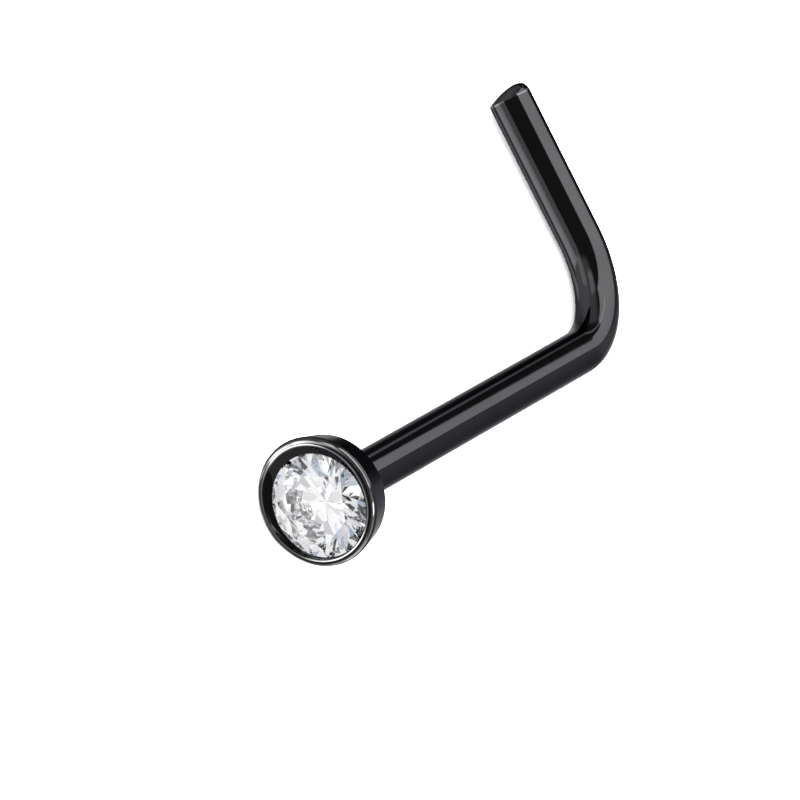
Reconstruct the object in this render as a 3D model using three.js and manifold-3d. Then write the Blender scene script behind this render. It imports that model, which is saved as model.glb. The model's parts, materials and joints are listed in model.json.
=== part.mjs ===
// A nose stud: a bezel cup that holds a round brilliant-cut stone, on a wire post with an L-shaped end.
// Millimetres, +Z up. The stud lies on a level surface as it does when it is put down.
// In its own frame the post runs along +Y from the cup's rim at y = 0, and the leg along -X.
import * as THREE from 'three';
import { ConvexGeometry } from 'three/addons/geometries/ConvexGeometry.js';
import { mergeVertices } from 'three/addons/utils/BufferGeometryUtils.js';
import Module from 'manifold-3d';

// Wire: the straight post, its bend and the short leg that lies inside the nostril.
const wireRadius = 0.32;
const postReach = 9.15; // from the cup's rim to where the axes of post and leg cross
const legReach = 3.7; // from that crossing to the edge of the leg's rounded end
const bendRadius = 1.48; // at the wire's centre line
const tipDome = 0.15; // height of the rounded end
const tipFlatRadius = 0.03; // the small flat left on top of it
const wireRoot = 0.05; // how far the post's end is sunk into the back of the cup

// Cup: a band with a rounded rim, drawn in a little behind it and then steeply to a shoulder round the post.
const cupRadius = 0.9;
const bandHeight = 0.48;
const bandTaper = THREE.MathUtils.degToRad(11.5);
const rimRound = 0.08; // radius on the rim's outer edge
const rimInnerRadius = 0.8; // inner edge of the narrow flat on the rim
const cupDepth = 0.9;
const shoulderRadius = 0.44;

// Seat: the opening lies a little off the cup's centre, below the rim.
const seatOffsetX = 0.06;
const seatOffsetZ = -0.006;
const seatRecess = 0.08; // from the rim down to the lip's inner edge
const bevelHollow = 0.012; // how far the slope from rim to lip is hollowed
const lipCover = 0.035; // how far the lip reaches over the edge of the stone
const seatClearance = 0.015;
const seatFloorRadius = 0.12;

// Stone: a round brilliant of eight-fold symmetry.
const stoneRadius = 0.75;
const tableRadius = 0.47; // to the table's corners
const starRadius = 0.6; // to where the star facets end
const girdleHeight = 0.03;
const crownAngle = THREE.MathUtils.degToRad(27);
const pavilionAngle = THREE.MathUtils.degToRad(40.75);
const lowerRadius = 0.19; // to where the lower girdle facets end
const facetFolds = 8;

// Rest: the stud lies on the cup's rim and the bend, rolled until its weight is over both.
const restRoll = THREE.MathUtils.degToRad(1.5);

// Fineness of the curved surfaces
const cupSides = 96;
const wireHalfSides = 18;
const bendSteps = 14;
const roundSteps = 4;
const bevelSteps = 4;
const domeSteps = 5;
const girdleSides = 64;

const wasm = await Module();
wasm.setup();

// Turns a closed geometry into a solid that can be joined and cut.
function solidOf(geometry) {
  const bare = geometry.clone();
  bare.deleteAttribute('normal');
  bare.deleteAttribute('uv');
  const merged = mergeVertices(bare, 1e-5);
  const vertProperties = new Float32Array(merged.attributes.position.array);
  const triVerts = new Uint32Array(merged.index.array);
  return new wasm.Manifold(new wasm.Mesh({ numProp: 3, vertProperties, triVerts }));
}

// Turns a solid back into a geometry.
function geometryOf(solid) {
  const { vertProperties, triVerts } = solid.getMesh();
  const geometry = new THREE.BufferGeometry();
  geometry.setAttribute('position', new THREE.BufferAttribute(new Float32Array(vertProperties), 3));
  geometry.setIndex(new THREE.BufferAttribute(new Uint32Array(triVerts), 1));
  geometry.computeVertexNormals();
  return geometry;
}

// The rounding of the rim, from its flat to where the band's taper begins.
function rimArc() {
  return Array.from({ length: roundSteps + 1 }, (_, step) => {
    const angle = THREE.MathUtils.lerp(-Math.PI / 2, bandTaper, step / roundSteps);
    return new THREE.Vector2(
      cupRadius - rimRound + rimRound * Math.cos(angle),
      rimRound + rimRound * Math.sin(angle),
    );
  });
}

// The slope of a facet between a girdle corner and a ridge end midway between two main facets.
function girdleFacetAngle(mainAngle, ridgeRadius) {
  const halfFold = Math.PI / facetFolds;
  const rise = (stoneRadius - ridgeRadius * Math.cos(halfFold)) * Math.tan(mainAngle);
  return Math.atan(rise / ((stoneRadius - ridgeRadius) * Math.cos(halfFold / 2)));
}

const upperGirdleAngle = girdleFacetAngle(crownAngle, starRadius);
const lowerGirdleAngle = girdleFacetAngle(pavilionAngle, lowerRadius);
const lipRadius = stoneRadius - lipCover;
const girdleTop =
  seatRecess + lipCover * Math.tan(upperGirdleAngle) + seatClearance / Math.cos(upperGirdleAngle);
const girdleBottom = girdleTop + girdleHeight;
const tableHeight = girdleTop - (stoneRadius - tableRadius) * Math.tan(crownAngle);
const culetHeight = girdleBottom + stoneRadius * Math.tan(pavilionAngle);

const wireSteps = bendSteps + 2 + domeSteps;
const domeRadius = (wireRadius ** 2 + tipDome ** 2) / (2 * tipDome);
const domeEdge = Math.asin(wireRadius / domeRadius);
const domeEnd = Math.asin(tipFlatRadius / domeRadius);

// The outside of the cup, turned about the post's axis.
function cupBody() {
  const arc = rimArc();
  const taperStart = arc[roundSteps];
  const backRadius = taperStart.x - (bandHeight - taperStart.y) * Math.tan(bandTaper);
  const profile = [
    new THREE.Vector2(0, 0),
    ...arc,
    new THREE.Vector2(backRadius, bandHeight),
    new THREE.Vector2(shoulderRadius, cupDepth),
    new THREE.Vector2(0, cupDepth),
  ];
  return solidOf(new THREE.LatheGeometry(profile, cupSides));
}

// The hollow of the cup: a slope from the rim to the lip, the groove behind the lip and a cone.
function seatHollow() {
  const slope = Array.from({ length: bevelSteps + 1 }, (_, step) => {
    const share = step / bevelSteps;
    const radius = THREE.MathUtils.lerp(rimInnerRadius, lipRadius, share);
    return new THREE.Vector2(radius, seatRecess * share + bevelHollow * Math.sin(Math.PI * share));
  });
  const grooveRadius = stoneRadius + seatClearance;
  const grooveTop = seatRecess + (lipCover + seatClearance) * Math.tan(upperGirdleAngle);
  const profile = [
    new THREE.Vector2(0, -seatRecess),
    new THREE.Vector2(rimInnerRadius, -seatRecess),
    ...slope,
    new THREE.Vector2(grooveRadius, grooveTop),
    new THREE.Vector2(grooveRadius, girdleBottom),
    new THREE.Vector2(seatFloorRadius, culetHeight + seatClearance),
    new THREE.Vector2(0, culetHeight + seatClearance),
  ];
  const hollow = new THREE.LatheGeometry(profile, cupSides);
  const points = hollow.attributes.position;
  for (let i = 0; i < points.count; i++) {
    const share = THREE.MathUtils.clamp(points.getY(i) / seatRecess, 0, 1);
    points.setX(i, points.getX(i) + seatOffsetX * share);
    points.setZ(i, points.getZ(i) + seatOffsetZ * share);
  }
  return solidOf(hollow);
}

// The wire's centre line: one step for the post, equal steps round the bend, one for the leg and
// equal turns over the dome.
class WireLine extends THREE.Curve {
  getUtoTmapping(share) {
    return share;
  }

  getPoint(share, target = new THREE.Vector3()) {
    const step = share * wireSteps;
    if (step < 1) {
      return target.set(0, THREE.MathUtils.lerp(cupDepth - wireRoot, postReach - bendRadius, step), 0);
    }
    if (step <= bendSteps + 1) {
      const turn = (Math.PI / 2) * ((step - 1) / bendSteps);
      const along = postReach - bendRadius + bendRadius * Math.sin(turn);
      return target.set(bendRadius * (Math.cos(turn) - 1), along, 0);
    }
    if (step <= bendSteps + 2) {
      return target.set(-THREE.MathUtils.lerp(bendRadius, legReach, step - bendSteps - 1), postReach, 0);
    }
    const turn = THREE.MathUtils.lerp(domeEdge, domeEnd, (step - bendSteps - 2) / domeSteps);
    return target.set(-legReach - domeRadius * (Math.cos(turn) - Math.cos(domeEdge)), postReach, 0);
  }
}

// The bent wire, drawn in to a low dome past the end of the leg.
function bentWire() {
  const section = new THREE.Shape().absarc(0, 0, wireRadius, 0, 2 * Math.PI);
  const wire = new THREE.ExtrudeGeometry(section, {
    curveSegments: wireHalfSides,
    steps: wireSteps,
    extrudePath: new WireLine(),
  });
  const points = wire.attributes.position;
  for (let i = 0; i < points.count; i++) {
    const height = Math.max(0, -points.getX(i) - legReach);
    const radius = Math.sqrt(domeRadius ** 2 - (height + domeRadius * Math.cos(domeEdge)) ** 2);
    const share = radius / wireRadius;
    if (height > 0) {
      points.setY(i, postReach + (points.getY(i) - postReach) * share);
      points.setZ(i, points.getZ(i) * share);
    }
  }
  return solidOf(wire);
}

// Corners in a ring, the first at this turn, at heights that may vary round the ring.
function ring(count, firstTurn, radius, heightAt) {
  return Array.from({ length: count }, (_, i) => {
    const turn = firstTurn + (2 * Math.PI * i) / count;
    const height = heightAt(turn);
    return new THREE.Vector3(radius * Math.sin(turn), height, radius * Math.cos(turn));
  });
}

// The stone: the flat facets between the corners of its table, star, girdle, lower ridges and culet.
function brilliant() {
  const fold = (2 * Math.PI) / facetFolds;
  const starHeight = girdleTop - (stoneRadius - starRadius * Math.cos(fold / 2)) * Math.tan(crownAngle);
  const lowerHeight =
    girdleBottom + (stoneRadius - lowerRadius * Math.cos(fold / 2)) * Math.tan(pavilionAngle);
  // the girdle facets end in scallops, lowest midway between two girdle corners
  const scallop = (turn) => {
    const offMiddle = THREE.MathUtils.euclideanModulo(turn, fold / 2) - fold / 4;
    return stoneRadius * (Math.cos(offMiddle) - Math.cos(fold / 4));
  };
  const corners = [
    ...ring(facetFolds, 0, tableRadius, () => tableHeight),
    ...ring(facetFolds, fold / 2, starRadius, () => starHeight),
    ...ring(girdleSides, 0, stoneRadius, (turn) => girdleTop + scallop(turn) * Math.tan(upperGirdleAngle)),
    ...ring(girdleSides, 0, stoneRadius, (turn) => girdleBottom - scallop(turn) * Math.tan(lowerGirdleAngle)),
    ...ring(facetFolds, fold / 2, lowerRadius, () => lowerHeight),
    new THREE.Vector3(0, culetHeight, 0),
  ];
  const stone = new ConvexGeometry(corners);
  stone.translate(seatOffsetX, 0, seatOffsetZ);
  return stone;
}

// The pitch at which the cup's rim and the bend touch the same level surface.
function restPitch() {
  let low = 0;
  let high = Math.PI / 4;
  for (let step = 0; step < 40; step++) {
    const pitch = (low + high) / 2;
    const sideways = Math.sin(restRoll) * Math.cos(pitch);
    const forward = Math.sin(pitch);
    const head = rimRound * forward + (cupRadius - rimRound) * Math.cos(pitch) + rimRound;
    const bendCentre = (postReach - bendRadius) * forward - bendRadius * sideways;
    const bend = bendCentre + bendRadius * Math.hypot(sideways, forward) + wireRadius;
    if (bend < head) {
      low = pitch;
    } else {
      high = pitch;
    }
  }
  return (low + high) / 2;
}

const metal = new THREE.Mesh(
  geometryOf(cupBody().subtract(seatHollow()).add(bentWire())),
  new THREE.MeshStandardMaterial({ color: 0x1b1b1d, metalness: 1, roughness: 0.16 }),
);
metal.name = 'cup_and_post';

const stone = new THREE.Mesh(
  brilliant(),
  new THREE.MeshStandardMaterial({ color: 0xf1f4fa, metalness: 0, roughness: 0.03, flatShading: true }),
);
stone.name = 'stone';

const stud = new THREE.Group();
stud.add(metal, stone);
stud.rotation.set(-restPitch(), restRoll, 0, 'XYZ');
stud.updateMatrixWorld(true);
const box = new THREE.Box3().setFromObject(stud, true);
const middle = box.getCenter(new THREE.Vector3());
stud.position.set(-middle.x, -middle.y, -box.min.z);

export default stud;
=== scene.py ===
# The nose stud: polished black metal and a clear brilliant-cut stone on a pale studio floor.
import json
import math

import bmesh
import bpy
from mathutils import Matrix, Vector


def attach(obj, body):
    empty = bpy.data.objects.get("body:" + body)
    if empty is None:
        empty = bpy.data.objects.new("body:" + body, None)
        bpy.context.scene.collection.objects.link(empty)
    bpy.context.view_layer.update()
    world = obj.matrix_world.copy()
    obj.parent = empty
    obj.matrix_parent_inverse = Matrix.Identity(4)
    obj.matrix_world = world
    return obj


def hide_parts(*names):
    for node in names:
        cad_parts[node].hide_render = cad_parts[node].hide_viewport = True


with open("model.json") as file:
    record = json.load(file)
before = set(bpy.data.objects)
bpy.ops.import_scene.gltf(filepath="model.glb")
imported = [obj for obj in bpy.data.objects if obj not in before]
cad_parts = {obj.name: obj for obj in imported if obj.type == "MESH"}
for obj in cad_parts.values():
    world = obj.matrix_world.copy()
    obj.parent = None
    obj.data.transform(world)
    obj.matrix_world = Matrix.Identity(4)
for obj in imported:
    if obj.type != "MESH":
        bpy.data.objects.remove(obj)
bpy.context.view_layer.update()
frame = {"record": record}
scene = bpy.context.scene
MM = 0.001

# The part's driving dimensions in millimetres, in the stud's own frame: the post runs along +Y from
# the rim at y = 0, and the leg along -X.
WIRE_RADIUS = 0.32
POST_REACH = 9.15
LEG_REACH = 3.7
BEND_RADIUS = 1.48
TIP_DOME = 0.15
CUP_RADIUS = 0.9
BAND_HEIGHT = 0.48
BAND_TAPER = math.radians(11.5)
RIM_ROUND = 0.08
RIM_INNER_RADIUS = 0.8
CUP_DEPTH = 0.9
SHOULDER_RADIUS = 0.44
SEAT_OFFSET = (0.06, -0.006)
SEAT_RECESS = 0.08
BEVEL_HOLLOW = 0.012
LIP_COVER = 0.035
SEAT_CLEARANCE = 0.015
SEAT_FLOOR_RADIUS = 0.12
STONE_RADIUS = 0.75
TABLE_RADIUS = 0.47
STAR_RADIUS = 0.6
GIRDLE_HEIGHT = 0.03
CROWN_ANGLE = math.radians(27)
PAVILION_ANGLE = math.radians(40.75)
LOWER_RADIUS = 0.19
FOLDS = 8
REST_ROLL = math.radians(1.5)

# Finer features that only the visible metal has.
BACK_EDGE_ROUND = 0.03
INNER_EDGE_ROUND = 0.012
LIP_ROUND = 0.006
SOLDER_FILLET = 0.035
TIP_EDGE_ROUND = 0.02
TIP_LEAN = Vector((0, 0.07, 0.115))
TIP_LEAN_GROWTH = 1.2
TIP_DOME_INSET = 0.002

# Fineness of the visible metal.
METAL_SIDES = 192
ROUND_STEPS = 6
BEVEL_STEPS = 8
BEND_STEPS = 64
DOME_STEPS = 16
GIRDLE_SIDES = 128
SUPPORT_MARGIN = 0.012
FLAT_WITHIN = math.radians(0.3)

# The photograph's camera in the stud's own frame: its place in millimetres, where it looks and what
# points right in the picture.
EYE = Vector((-3.083, -74.49, 50.79))
FORWARD = Vector((0.02626, 0.83603, -0.54805))
RIGHT = Vector((0.44976, 0.47974, 0.75337))
LENS = 304.3
SENSOR = 36.0
CLIP_METRES = (0.001, 10)

# The plating's colours, the painted shade of the rim's flat face, the painted highlight colour of
# the rim's edges and the leg's tip, and its noise in cells per metre.
PLATING = ((0.025, 0.025, 0.026), (0.034, 0.034, 0.036))
FACE_PAINTED_SHADE = (0.008, 0.008, 0.009)
PAINTED_HIGHLIGHT = (0.43, 0.43, 0.435)
SEAT_BRIGHT = (0.96, 0.96, 0.96)
METAL_TINT = (0.45, 0.45, 0.46, 1)
ROUGHNESS = (0.05, 0.1)
CLOUD_NOISE = 1500
HIGHLIGHT_PATCH_NOISE = 2600
GRAIN_NOISE = 9000
GRAIN_HEIGHT = 0.000002
GRAIN_STRENGTH = 0.05

# Where the plating carries painted highlights and painted shade, and where the seat is bright, in
# the stud's own frame in millimetres:
# rings by their inner and outer radius, and soft steps from the place with none of it to the place
# with all of it.
PAINTED_BAND_SOFTNESS = 0.006
RIM_DEPTH = (0.07, 0.05)
CREST = (0.792, 0.82)
CREST_SIDE = (-0.75, -0.4)
CREST_ENDS = (0.55, 0.78)
RIM_FACE = (0.824, 0.85)
RIM_FACE_DEPTH = (0.02, 0.01)
OUTER_EDGE = (0.856, 0.888)
OUTER_EDGE_SIDE = (-0.5, -0.8)
OUTER_EDGE_INWARD = 0.028
OUTER_EDGE_MIDDLE = (-0.3, 0.3, 0.15)
TIP_SIDE = (POST_REACH - 1, POST_REACH - 0.5)
SEAT_DEPTH = (0.084, 0.09)
SEAT_SIDE = (0.85, 0.84)
SEAT_CONE = (1.12, 1.1)

# How strong the painted highlight is there, and the part of the noise over which it comes up.
CREST_HIGHLIGHT = (0.08, 1)
OUTER_EDGE_HIGHLIGHT = (0.45, 0.9)
TIP_HIGHLIGHT = 0.15
HIGHLIGHT_PATCHES = (0.2, 0.6)

# The stone's faint cloud and refraction, and the tones of light that it gathers, each from its
# share of them upwards.
CRYSTAL = ((0.98, 0.985, 1.0), (1.0, 1.0, 1.0))
CRYSTAL_TINT = (0.25, 0.25, 0.25, 1)
REFRACTION = 2.38
STONE_CLOUD_NOISE = 2500
PATCH_SCALE = 3.2
PATCH_RANDOMNESS = 0.9
STONE_TONES = (
    (0.0, (0.02, 0.022, 0.03)),
    (0.12, (0.4, 0.47, 0.58)),
    (0.2, (0.54, 0.53, 0.62)),
    (0.29, (0.42, 0.42, 0.42)),
    (0.43, (0.7, 0.7, 0.72)),
    (0.64, (0.84, 0.84, 0.84)),
    (0.92, (1.3, 1.28, 1.22)),
)
WINDOW_WHITE = (0.86, 0.86, 0.87)
WINDOW_SIDE = (-0.55, -0.85)
WINDOW_SHARE = 0.55

# The studio: half the floor's side in metres, its finish, the light on it, the dimmest light of
# the mirrored room, and how near to level a direction's slope is still worked out.
FLOOR_HALF = 2.0
FLOOR_COLOUR = (0.9, 0.9, 0.9, 1)
FLOOR_ROUGHNESS = 0.6
FLOOR_SHINE = 0.2
FLOOR_LIGHT = (4.5, 4.5, 4.5)
ROOM_DARKNESS = 0.18
LEVEL = 0.001

# Light is turned back many times between the stone's facets before it leaves.
ALL_BOUNCES = 24
CLEAR_BOUNCES = 20


def lay_matrix():
    """From the stud's own frame to the row frame, from the shoulder mount's place and direction."""
    shoulder = next(m for m in frame["record"]["mounts"] if m["name"] == "shoulder")
    pitch = math.asin(shoulder["axis"][2])
    turn = Matrix.Rotation(pitch, 4, "X") @ Matrix.Rotation(REST_ROLL, 4, "Y")
    ring_middle = (SHOULDER_RADIUS + WIRE_RADIUS) / 2
    own = Vector((0, CUP_DEPTH, ring_middle)) * MM
    return Matrix.Translation(Vector(shoulder["pos_m"]) - turn @ own) @ turn


LAY = lay_matrix()


def add_camera():
    data = bpy.data.cameras.new("camera")
    data.sensor_width = SENSOR
    data.lens = LENS
    camera = bpy.data.objects.new("camera", data)
    scene.collection.objects.link(camera)
    turn = LAY.to_3x3()
    forward = (turn @ FORWARD).normalized()
    right = turn @ RIGHT
    right = (right - forward * right.dot(forward)).normalized()
    axes = Matrix((right, right.cross(forward), -forward)).transposed()
    camera.matrix_world = Matrix.Translation(LAY @ (EYE * MM)) @ axes.to_4x4()
    data.clip_start, data.clip_end = CLIP_METRES
    scene.camera = camera


def girdle_facet_angle(main_angle, ridge_radius):
    """The slope of a facet from a girdle corner to a ridge end midway between main facets."""
    half_fold = math.pi / FOLDS
    rise = (STONE_RADIUS - ridge_radius * math.cos(half_fold)) * math.tan(main_angle)
    return math.atan(rise / ((STONE_RADIUS - ridge_radius) * math.cos(half_fold / 2)))


UPPER_GIRDLE_ANGLE = girdle_facet_angle(CROWN_ANGLE, STAR_RADIUS)
LOWER_GIRDLE_ANGLE = girdle_facet_angle(PAVILION_ANGLE, LOWER_RADIUS)
LIP_RADIUS = STONE_RADIUS - LIP_COVER
GIRDLE_TOP = (
    SEAT_RECESS
    + LIP_COVER * math.tan(UPPER_GIRDLE_ANGLE)
    + SEAT_CLEARANCE / math.cos(UPPER_GIRDLE_ANGLE)
)
GIRDLE_BOTTOM = GIRDLE_TOP + GIRDLE_HEIGHT
TABLE_HEIGHT = GIRDLE_TOP - (STONE_RADIUS - TABLE_RADIUS) * math.tan(CROWN_ANGLE)
CULET_HEIGHT = GIRDLE_BOTTOM + STONE_RADIUS * math.tan(PAVILION_ANGLE)


def rounded(corners):
    """The profile through (radius, height, rounding) corners, each rounded by an arc."""
    path = []
    for i, (radius, height, rounding) in enumerate(corners):
        here = Vector((radius, height))
        if rounding == 0:
            path.append(here)
            continue
        before = (Vector(corners[i - 1][:2]) - here).normalized()
        after = (Vector(corners[i + 1][:2]) - here).normalized()
        half = math.acos(max(-1, min(1, before.dot(after)))) / 2
        middle = here + (before + after).normalized() * rounding / math.sin(half)
        start = here + before * rounding / math.tan(half) - middle
        sweep = start.angle_signed(here + after * rounding / math.tan(half) - middle)
        for step in range(ROUND_STEPS + 1):
            turned = start.copy()
            turned.rotate(Matrix.Rotation(-sweep * step / ROUND_STEPS, 2))
            path.append(middle + turned)
    return path


def supported(path):
    """The path with a point close to each end of its long straight steps, to keep shading local."""
    full = path[:1]
    for start, end in zip(path, path[1:]):
        step = end - start
        if step.length > 4 * SUPPORT_MARGIN:
            margin = step.normalized() * SUPPORT_MARGIN
            full += [start + margin, end - margin]
        full.append(end)
    return full


def cup_rings():
    """Rings (centre, turn, radius) from the floor of the seat over the rim to the post's root."""
    slope = []
    for step in range(1, BEVEL_STEPS):
        share = step / BEVEL_STEPS
        radius = LIP_RADIUS + (RIM_INNER_RADIUS - LIP_RADIUS) * share
        height = SEAT_RECESS * (1 - share) + BEVEL_HOLLOW * math.sin(math.pi * share)
        slope.append((radius, height, 0))
    # the band is widest where its taper meets the rounding of the rim
    widest = CUP_RADIUS - RIM_ROUND * (1 - math.cos(BAND_TAPER))
    widest_at = RIM_ROUND * (1 + math.sin(BAND_TAPER))
    taper = math.tan(BAND_TAPER)
    groove = STONE_RADIUS + SEAT_CLEARANCE
    groove_top = SEAT_RECESS + (LIP_COVER + SEAT_CLEARANCE) * math.tan(UPPER_GIRDLE_ANGLE)
    path = rounded([
        (SEAT_FLOOR_RADIUS, CULET_HEIGHT + SEAT_CLEARANCE, 0),
        (groove, GIRDLE_BOTTOM, 0),
        (groove, groove_top, 0),
        (LIP_RADIUS, SEAT_RECESS, LIP_ROUND),
        *slope,
        (RIM_INNER_RADIUS, 0, INNER_EDGE_ROUND),
        (widest + widest_at * taper, 0, RIM_ROUND),
        (widest - (BAND_HEIGHT - widest_at) * taper, BAND_HEIGHT, BACK_EDGE_ROUND),
        (SHOULDER_RADIUS, CUP_DEPTH, BACK_EDGE_ROUND),
        (WIRE_RADIUS, CUP_DEPTH, SOLDER_FILLET),
        (WIRE_RADIUS, POST_REACH - BEND_RADIUS, 0),
    ])
    rings = []
    rim_passed = False
    for radius, height in supported(path):
        rim_passed = rim_passed or radius > RIM_INNER_RADIUS
        share = 0 if rim_passed else min(1, max(0, height / SEAT_RECESS))
        centre = Vector((SEAT_OFFSET[0] * share, height, SEAT_OFFSET[1] * share))
        rings.append((centre, 0, radius))
    return rings


def wire_rings():
    """Rings round the bend and along the leg to its rounded end."""
    rings = []
    quarter = math.pi / 2
    for step in range(1, BEND_STEPS + 1):
        turn = quarter * step / BEND_STEPS
        along = POST_REACH - BEND_RADIUS + BEND_RADIUS * math.sin(turn)
        rings.append((Vector((BEND_RADIUS * (math.cos(turn) - 1), along, 0)), turn, WIRE_RADIUS))
    for along in (BEND_RADIUS + SUPPORT_MARGIN, LEG_REACH - TIP_EDGE_ROUND):
        rings.append((Vector((-along, POST_REACH, 0)), quarter, WIRE_RADIUS))
    dome = (WIRE_RADIUS**2 + TIP_DOME**2) / (2 * TIP_DOME)
    edge = math.asin(WIRE_RADIUS / dome)
    slant = quarter - edge
    tangent = TIP_EDGE_ROUND / math.tan((math.pi - slant) / 2)
    for step in range(ROUND_STEPS + 1):
        lean = slant * step / ROUND_STEPS
        radius = WIRE_RADIUS - TIP_EDGE_ROUND * (1 - math.cos(lean))
        along = LEG_REACH - tangent + TIP_EDGE_ROUND * math.sin(lean)
        rings.append((Vector((-along, POST_REACH, 0)), quarter, radius))
    first = math.asin((rings[-1][2] - TIP_DOME_INSET) / dome)
    for step in range(DOME_STEPS):
        lean = first * (1 - step / DOME_STEPS)
        proud = dome * (math.cos(lean) - math.cos(edge))
        middle = Vector((-LEG_REACH - proud, POST_REACH, 0))
        middle += TIP_LEAN * (proud / TIP_DOME) ** TIP_LEAN_GROWTH
        rings.append((middle, quarter, dome * math.sin(lean)))
    return rings


def add_piece(name, mesh, material, node):
    piece = bpy.data.objects.new(name, mesh)
    scene.collection.objects.link(piece)
    mesh.materials.append(material)
    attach(piece, "root")
    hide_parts(node)
    return piece


def metal_mesh():
    """One skin through all the rings, closed at both ends."""
    rings = cup_rings() + wire_rings()
    mesh = bmesh.new()
    loops = []
    for centre, turn, radius in rings:
        side = Vector((math.cos(turn), math.sin(turn), 0))
        loop = []
        for i in range(METAL_SIDES):
            angle = 2 * math.pi * i / METAL_SIDES
            outward = math.cos(angle) * side + math.sin(angle) * Vector((0, 0, 1))
            loop.append(mesh.verts.new(LAY @ ((centre + radius * outward) * MM)))
        loops.append(loop)
    for one, other in zip(loops, loops[1:]):
        for i in range(METAL_SIDES):
            j = (i + 1) % METAL_SIDES
            mesh.faces.new((one[i], one[j], other[j], other[i]))
    floor_centre = Vector((SEAT_OFFSET[0], CULET_HEIGHT + SEAT_CLEARANCE, SEAT_OFFSET[1]))
    tip_centre = Vector((-LEG_REACH - TIP_DOME, POST_REACH, 0)) + TIP_LEAN
    for loop, point in ((loops[0], floor_centre), (loops[-1], tip_centre)):
        middle = mesh.verts.new(LAY @ (point * MM))
        for i in range(METAL_SIDES):
            mesh.faces.new((loop[i], loop[(i + 1) % METAL_SIDES], middle))
    bmesh.ops.recalc_face_normals(mesh, faces=mesh.faces)
    for face in mesh.faces:
        face.smooth = True
    done = bpy.data.meshes.new("bezel_and_wire")
    mesh.to_mesh(done)
    mesh.free()
    return done


def corner_ring(count, first_turn, radius, height_at):
    """Corners in a ring, the first at this turn, at heights that may vary round the ring."""
    corners = []
    for i in range(count):
        turn = first_turn + 2 * math.pi * i / count
        corners.append(Vector((radius * math.sin(turn), height_at(turn), radius * math.cos(turn))))
    return corners


def stone_mesh():
    """The flat facets between the corners of table, star, girdle, lower ridges and culet."""
    fold = 2 * math.pi / FOLDS
    inward = math.cos(fold / 2)
    star = GIRDLE_TOP - (STONE_RADIUS - STAR_RADIUS * inward) * math.tan(CROWN_ANGLE)
    lower = GIRDLE_BOTTOM + (STONE_RADIUS - LOWER_RADIUS * inward) * math.tan(PAVILION_ANGLE)

    def scallop(turn):
        off_middle = turn % (fold / 2) - fold / 4
        return STONE_RADIUS * (math.cos(off_middle) - math.cos(fold / 4))

    def upper_edge(turn):
        return GIRDLE_TOP + scallop(turn) * math.tan(UPPER_GIRDLE_ANGLE)

    def lower_edge(turn):
        return GIRDLE_BOTTOM - scallop(turn) * math.tan(LOWER_GIRDLE_ANGLE)

    corners = [
        *corner_ring(FOLDS, 0, TABLE_RADIUS, lambda turn: TABLE_HEIGHT),
        *corner_ring(FOLDS, fold / 2, STAR_RADIUS, lambda turn: star),
        *corner_ring(GIRDLE_SIDES, 0, STONE_RADIUS, upper_edge),
        *corner_ring(GIRDLE_SIDES, 0, STONE_RADIUS, lower_edge),
        *corner_ring(FOLDS, fold / 2, LOWER_RADIUS, lambda turn: lower),
        Vector((0, CULET_HEIGHT, 0)),
    ]
    mesh = bmesh.new()
    for corner in corners:
        mesh.verts.new(corner)
    bmesh.ops.convex_hull(mesh, input=mesh.verts)
    bmesh.ops.dissolve_limit(mesh, angle_limit=FLAT_WITHIN, verts=mesh.verts, edges=mesh.edges)
    place = LAY @ Matrix.Scale(MM, 4) @ Matrix.Translation((SEAT_OFFSET[0], 0, SEAT_OFFSET[1]))
    bmesh.ops.transform(mesh, matrix=place, verts=mesh.verts)
    bmesh.ops.recalc_face_normals(mesh, faces=mesh.faces)
    done = bpy.data.meshes.new("brilliant")
    mesh.to_mesh(done)
    mesh.free()
    return done


def new_material(name):
    material = bpy.data.materials.new(name)
    material.use_nodes = True
    return material, material.node_tree.nodes["Principled BSDF"]


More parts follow.
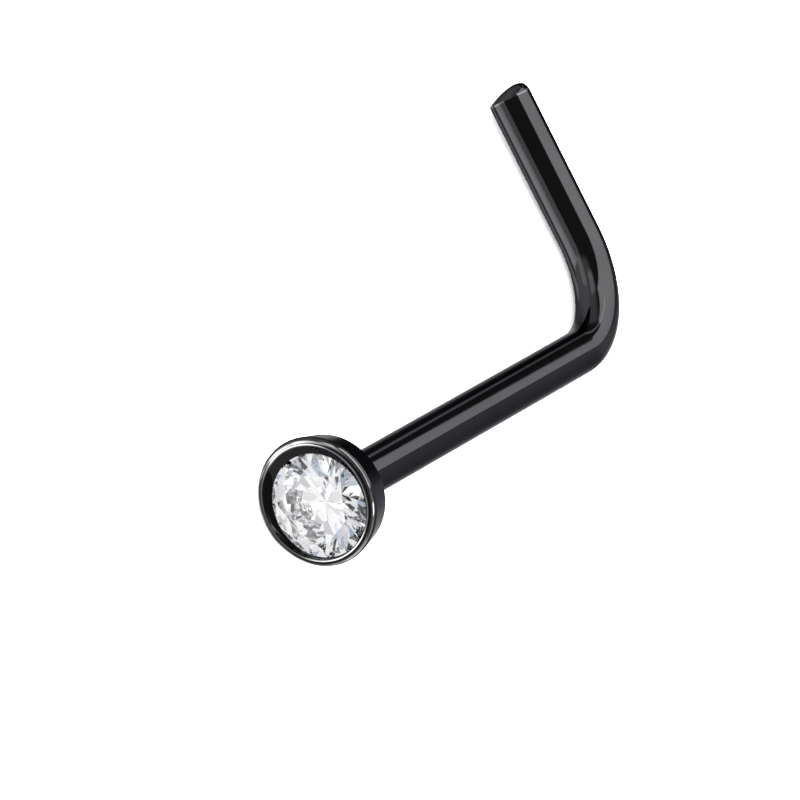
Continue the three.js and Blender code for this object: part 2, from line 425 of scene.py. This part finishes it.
class Nodes:
    """A node tree with short ways to add sums, soft steps, mixes and noise."""

    def __init__(self, tree):
        self.nodes = tree.nodes
        self.links = tree.links

    def math(self, operation, one, other=0.0):
        node = self.nodes.new("ShaderNodeMath")
        node.operation = operation
        for socket, value in zip(node.inputs, (one, other)):
            if isinstance(value, (int, float)):
                socket.default_value = value
            else:
                self.links.new(value, socket)
        return node.outputs[0]

    def product(self, first, *others):
        for other in others:
            first = self.math("MULTIPLY", first, other)
        return first

    def rise(self, value, low, high):
        """0 below low and 1 above high, smooth between. With low above high it falls."""
        node = self.nodes.new("ShaderNodeMapRange")
        node.interpolation_type = "SMOOTHSTEP"
        node.inputs["From Min"].default_value = min(low, high)
        node.inputs["From Max"].default_value = max(low, high)
        node.inputs["To Min"].default_value = 0 if low < high else 1
        node.inputs["To Max"].default_value = 1 if low < high else 0
        self.links.new(value, node.inputs["Value"])
        return node.outputs["Result"]

    def band(self, value, low, high, soft):
        """1 from low to high and 0 outside, with soft ends."""
        upward = self.rise(value, low - soft, low + soft)
        return self.product(upward, self.rise(value, high + soft, high - soft))

    def between(self, share, low, high):
        """The number that lies this share of the way from low to high."""
        return self.math("ADD", self.math("MULTIPLY", share, high - low), low)

    def mix(self, share, one, other):
        """The colour that lies this share of the way from one to the other."""
        node = self.nodes.new("ShaderNodeMix")
        node.data_type = "RGBA"
        self.links.new(share, node.inputs["Factor"])
        for socket, value in ((node.inputs["A"], one), (node.inputs["B"], other)):
            if isinstance(value, tuple):
                socket.default_value = (*value, 1)
            else:
                self.links.new(value, socket)
        return node.outputs["Result"]

    def noise(self, place, scale, detail):
        node = self.nodes.new("ShaderNodeTexNoise")
        node.inputs["Scale"].default_value = scale
        node.inputs["Detail"].default_value = detail
        self.links.new(place, node.inputs["Vector"])
        return node.outputs["Fac"]

    def parts(self, vector):
        """The x, y and z of a vector."""
        node = self.nodes.new("ShaderNodeSeparateXYZ")
        self.links.new(vector, node.inputs["Vector"])
        return node.outputs["X"], node.outputs["Y"], node.outputs["Z"]


def own_place(tree, place):
    """The x, y and z of a place in the stud's own frame, in millimetres."""
    back = LAY.inverted()
    turned = tree.nodes.new("ShaderNodeMapping")
    turned.inputs["Location"].default_value = back.translation
    turned.inputs["Rotation"].default_value = back.to_euler()
    tree.links.new(place, turned.inputs["Vector"])
    return [tree.math("MULTIPLY", part, 1 / MM) for part in tree.parts(turned.outputs["Vector"])]


def black_metal():
    """Polished black plating with painted highlights on the rim's edges and the leg's tip, painted
    shade on the rim's flat face, and a bright seat under the stone.
    """
    material, shader = new_material("black_metal")
    tree = Nodes(material.node_tree)
    place = tree.nodes.new("ShaderNodeTexCoord").outputs["Object"]
    x, y, z = own_place(tree, place)
    radius = tree.math("SQRT", tree.math("ADD", tree.product(x, x), tree.product(z, z)))
    # on the rim's left side the crest gets no painted highlight, and its painted highlight is
    # strongest at both ends of x
    side = tree.rise(z, *CREST_SIDE)
    ends = tree.rise(tree.math("ABSOLUTE", x), *CREST_ENDS)
    crest = tree.band(radius, *CREST, PAINTED_BAND_SOFTNESS)
    crest = tree.product(crest, side, tree.between(ends, *CREST_HIGHLIGHT))
    # towards the leg's side the outer edge's painted highlight reaches further in
    inward = tree.math("MULTIPLY", tree.rise(x, *OUTER_EDGE_SIDE), OUTER_EDGE_INWARD)
    edge = tree.band(tree.math("ADD", radius, inward), *OUTER_EDGE, PAINTED_BAND_SOFTNESS)
    edge = tree.product(edge, tree.between(tree.band(z, *OUTER_EDGE_MIDDLE), *OUTER_EDGE_HIGHLIGHT))
    rim = tree.product(tree.math("MAXIMUM", crest, edge), tree.rise(y, *RIM_DEPTH))
    # a painted highlight: a lighter ring on the rounded edge of the leg's tip
    reach = tree.math("MULTIPLY", x, -1)
    tip = tree.product(
        tree.band(reach, LEG_REACH - TIP_EDGE_ROUND, LEG_REACH, PAINTED_BAND_SOFTNESS),
        tree.rise(y, *TIP_SIDE), TIP_HIGHLIGHT)
    # noise breaks the painted highlights into patches
    highlight_patches = tree.rise(tree.noise(place, HIGHLIGHT_PATCH_NOISE, 2), *HIGHLIGHT_PATCHES)
    painted_highlight = tree.product(tree.math("MAXIMUM", rim, tip), highlight_patches)
    # painted shade: the rim's flat face is made blacker than the plating, standing in for a dark
    # reflection
    face = tree.band(radius, *RIM_FACE, PAINTED_BAND_SOFTNESS)
    face = tree.product(face, tree.rise(y, *RIM_FACE_DEPTH))
    below_lip = tree.rise(y, *SEAT_DEPTH)
    inside = tree.rise(radius, *SEAT_SIDE)
    above_cone = tree.rise(tree.math("ADD", radius, y), *SEAT_CONE)
    seat = tree.product(below_lip, inside, above_cone)
    cloud = tree.noise(place, CLOUD_NOISE, 3)
    tone = tree.mix(cloud, *PLATING)
    # over the plating: painted shade on the rim's flat face, painted highlights on the edges, then
    # the bright seat
    for share, colour in ((face, FACE_PAINTED_SHADE), (painted_highlight, PAINTED_HIGHLIGHT), (seat, SEAT_BRIGHT)):
        tone = tree.mix(share, tone, colour)
    tree.links.new(tone, shader.inputs["Base Color"])
    tree.links.new(tree.between(cloud, *ROUGHNESS), shader.inputs["Roughness"])
    shader.inputs["Metallic"].default_value = 1.0
    shader.inputs["Specular Tint"].default_value = METAL_TINT
    bump = tree.nodes.new("ShaderNodeBump")
    bump.inputs["Strength"].default_value = GRAIN_STRENGTH
    bump.inputs["Distance"].default_value = GRAIN_HEIGHT
    tree.links.new(tree.noise(place, GRAIN_NOISE, 2), bump.inputs["Height"])
    tree.links.new(bump.outputs["Normal"], shader.inputs["Normal"])
    return material


def clear_stone():
    """Clear crystal of high refraction, with the faintest cloud in its colour."""
    material, shader = new_material("clear_stone")
    tree = Nodes(material.node_tree)
    shader.inputs["Roughness"].default_value = 0.0
    shader.inputs["IOR"].default_value = REFRACTION
    shader.inputs["Transmission Weight"].default_value = 1.0
    shader.inputs["Specular Tint"].default_value = CRYSTAL_TINT
    place = tree.nodes.new("ShaderNodeTexCoord").outputs["Object"]
    cloud = tree.noise(place, STONE_CLOUD_NOISE, 2)
    tree.links.new(tree.mix(cloud, *CRYSTAL), shader.inputs["Base Color"])
    return material


def add_floor():
    """A pale floor, left out of what the metal mirrors and the stone gathers."""
    material, shader = new_material("floor")
    shader.inputs["Base Color"].default_value = FLOOR_COLOUR
    shader.inputs["Roughness"].default_value = FLOOR_ROUGHNESS
    shader.inputs["Specular IOR Level"].default_value = FLOOR_SHINE
    mesh = bpy.data.meshes.new("floor")
    signs = ((-1, -1), (1, -1), (1, 1), (-1, 1))
    mesh.from_pydata([(FLOOR_HALF * x, FLOOR_HALF * y, 0) for x, y in signs], [], [(0, 1, 2, 3)])
    mesh.materials.append(material)
    floor = bpy.data.objects.new("floor", mesh)
    scene.collection.objects.link(floor)
    floor.visible_glossy = False
    floor.visible_transmission = False


class Studio(Nodes):
    """The studio's surroundings as a sky, in the nodes of the world."""

    def __init__(self):
        self.world = bpy.data.worlds.new("studio")
        self.world.use_nodes = True
        super().__init__(self.world.node_tree)
        self.nodes.clear()
        self.direction = self.nodes.new("ShaderNodeTexCoord").outputs["Generated"]
        self.x, self.y, self.z = self.parts(self.direction)


def mirrored_room(studio):
    """What polished metal mirrors: a dark room with lamps, light walls and a pale table below.

    A lamp is its strength and then the shares, 0 to 1, by which a direction lies in its bounds.
    """
    x, y, z = studio.x, studio.y, studio.z
    rise, band = studio.rise, studio.band
    # slopes of a direction over the ceiling and, towards the front, over the table
    height = studio.math("MAXIMUM", z, LEVEL)
    across = studio.math("DIVIDE", x, height)
    along = studio.math("DIVIDE", y, height)
    depth = studio.math("MAXIMUM", studio.math("MULTIPLY", z, -1), LEVEL)
    front = studio.math("DIVIDE", studio.math("MULTIPLY", y, -1), depth)
    down = rise(z, 0.02, -0.02)
    front_table = (down, rise(front, 0.38, 0.48), band(x, -0.45, 0.16, 0.06))
    lamps = [
        # the soft ceiling light's far and near halves
        (4.7, band(across, -0.84, 0.3, 0.03), band(along, 1.3, 2.1, 0.05)),
        (4.7, band(across, -1.3, 0.3, 0.05), band(along, -0.18, 1.3, 0.05)),
        # the right wall, the far wall on the right and on the lower left, and the left wall
        (0.85, rise(x, 0.1, 0.2), rise(y, -0.4, -0.2), rise(z, -0.65, -0.55)),
        (0.95, rise(x, -0.05, 0.2), rise(y, 0.86, 0.93), rise(z, -0.6, -0.45)),
        (0.8, rise(x, -0.1, -0.25), rise(y, 0.6, 0.7), rise(z, -0.25, -0.4)),
        (1.0, rise(x, -0.35, -0.55), rise(y, 0.7, 0.55), rise(z, 0.6, 0.3)),
        # a narrow strip at the far left, then small lamps at the front left and on the right
        (2.6, band(x, -0.56, -0.5, 0.01), rise(y, 0.3, 0.4), rise(z, 0, 0.1)),
        (1.5, rise(x, -0.3, -0.45), band(y, -0.9, -0.42, 0.04), band(z, -0.42, -0.1, 0.05)),
        (1.8, rise(x, -0.6, -0.75), band(y, -0.65, -0.15, 0.08), band(z, 0.15, 0.5, 0.05)),
        (9.0, band(x, 0.6, 0.8, 0.03), band(y, -0.35, 0.1, 0.05), rise(z, 0.5, 0.6)),
        # the table: all of it, its front, where it grows brighter inwards, and the part right below
        (0.55, down, rise(y, 0.6, 0.4)),
        (0.9, *front_table),
        (3.6, rise(front, 2.8, 0.6), *front_table),
        (3.2, down, band(front, -0.3, 0.1, 0.04), band(x, -0.6, 0.4, 0.1)),
    ]
    light = ROOM_DARKNESS
    for strength, *shares in lamps:
        light = studio.math("ADD", light, studio.product(*shares, strength))
    return light


def stone_light(studio):
    """What the stone gathers: white, grey and pale blue patches, evener white from the front."""
    patches = studio.nodes.new("ShaderNodeTexVoronoi")
    patches.inputs["Scale"].default_value = PATCH_SCALE
    patches.inputs["Randomness"].default_value = PATCH_RANDOMNESS
    studio.links.new(studio.direction, patches.inputs["Vector"])
    number = studio.nodes.new("ShaderNodeSeparateColor")
    studio.links.new(patches.outputs["Color"], number.inputs["Color"])
    tones = studio.nodes.new("ShaderNodeValToRGB")
    ramp = tones.color_ramp
    ramp.interpolation = "CONSTANT"
    while len(ramp.elements) < len(STONE_TONES):
        ramp.elements.new(1)
    for element, (position, colour) in zip(ramp.elements, STONE_TONES):
        element.position = position
        element.color = (*colour, 1)
    studio.links.new(number.outputs["Red"], tones.inputs["Fac"])
    window = studio.math("MULTIPLY", studio.rise(studio.y, *WINDOW_SIDE), WINDOW_SHARE)
    return studio.mix(window, tones.outputs["Color"], WINDOW_WHITE)


def add_studio():
    """Light on the floor, the room that the metal mirrors and the light that the stone gathers."""
    studio = Studio()
    ray = studio.nodes.new("ShaderNodeLightPath").outputs
    light = studio.mix(ray["Is Glossy Ray"], FLOOR_LIGHT, mirrored_room(studio))
    light = studio.mix(ray["Is Transmission Ray"], light, stone_light(studio))
    background = studio.nodes.new("ShaderNodeBackground")
    output = studio.nodes.new("ShaderNodeOutputWorld")
    studio.links.new(light, background.inputs["Color"])
    studio.links.new(background.outputs["Background"], output.inputs["Surface"])
    scene.world = studio.world


add_camera()
add_piece("bezel_and_wire", metal_mesh(), black_metal(), "cup_and_post")
add_piece("brilliant", stone_mesh(), clear_stone(), "stone")
add_floor()
add_studio()
scene.view_settings.view_transform = "Standard"
scene.cycles.max_bounces = ALL_BOUNCES
scene.cycles.glossy_bounces = CLEAR_BOUNCES
scene.cycles.transmission_bounces = CLEAR_BOUNCES
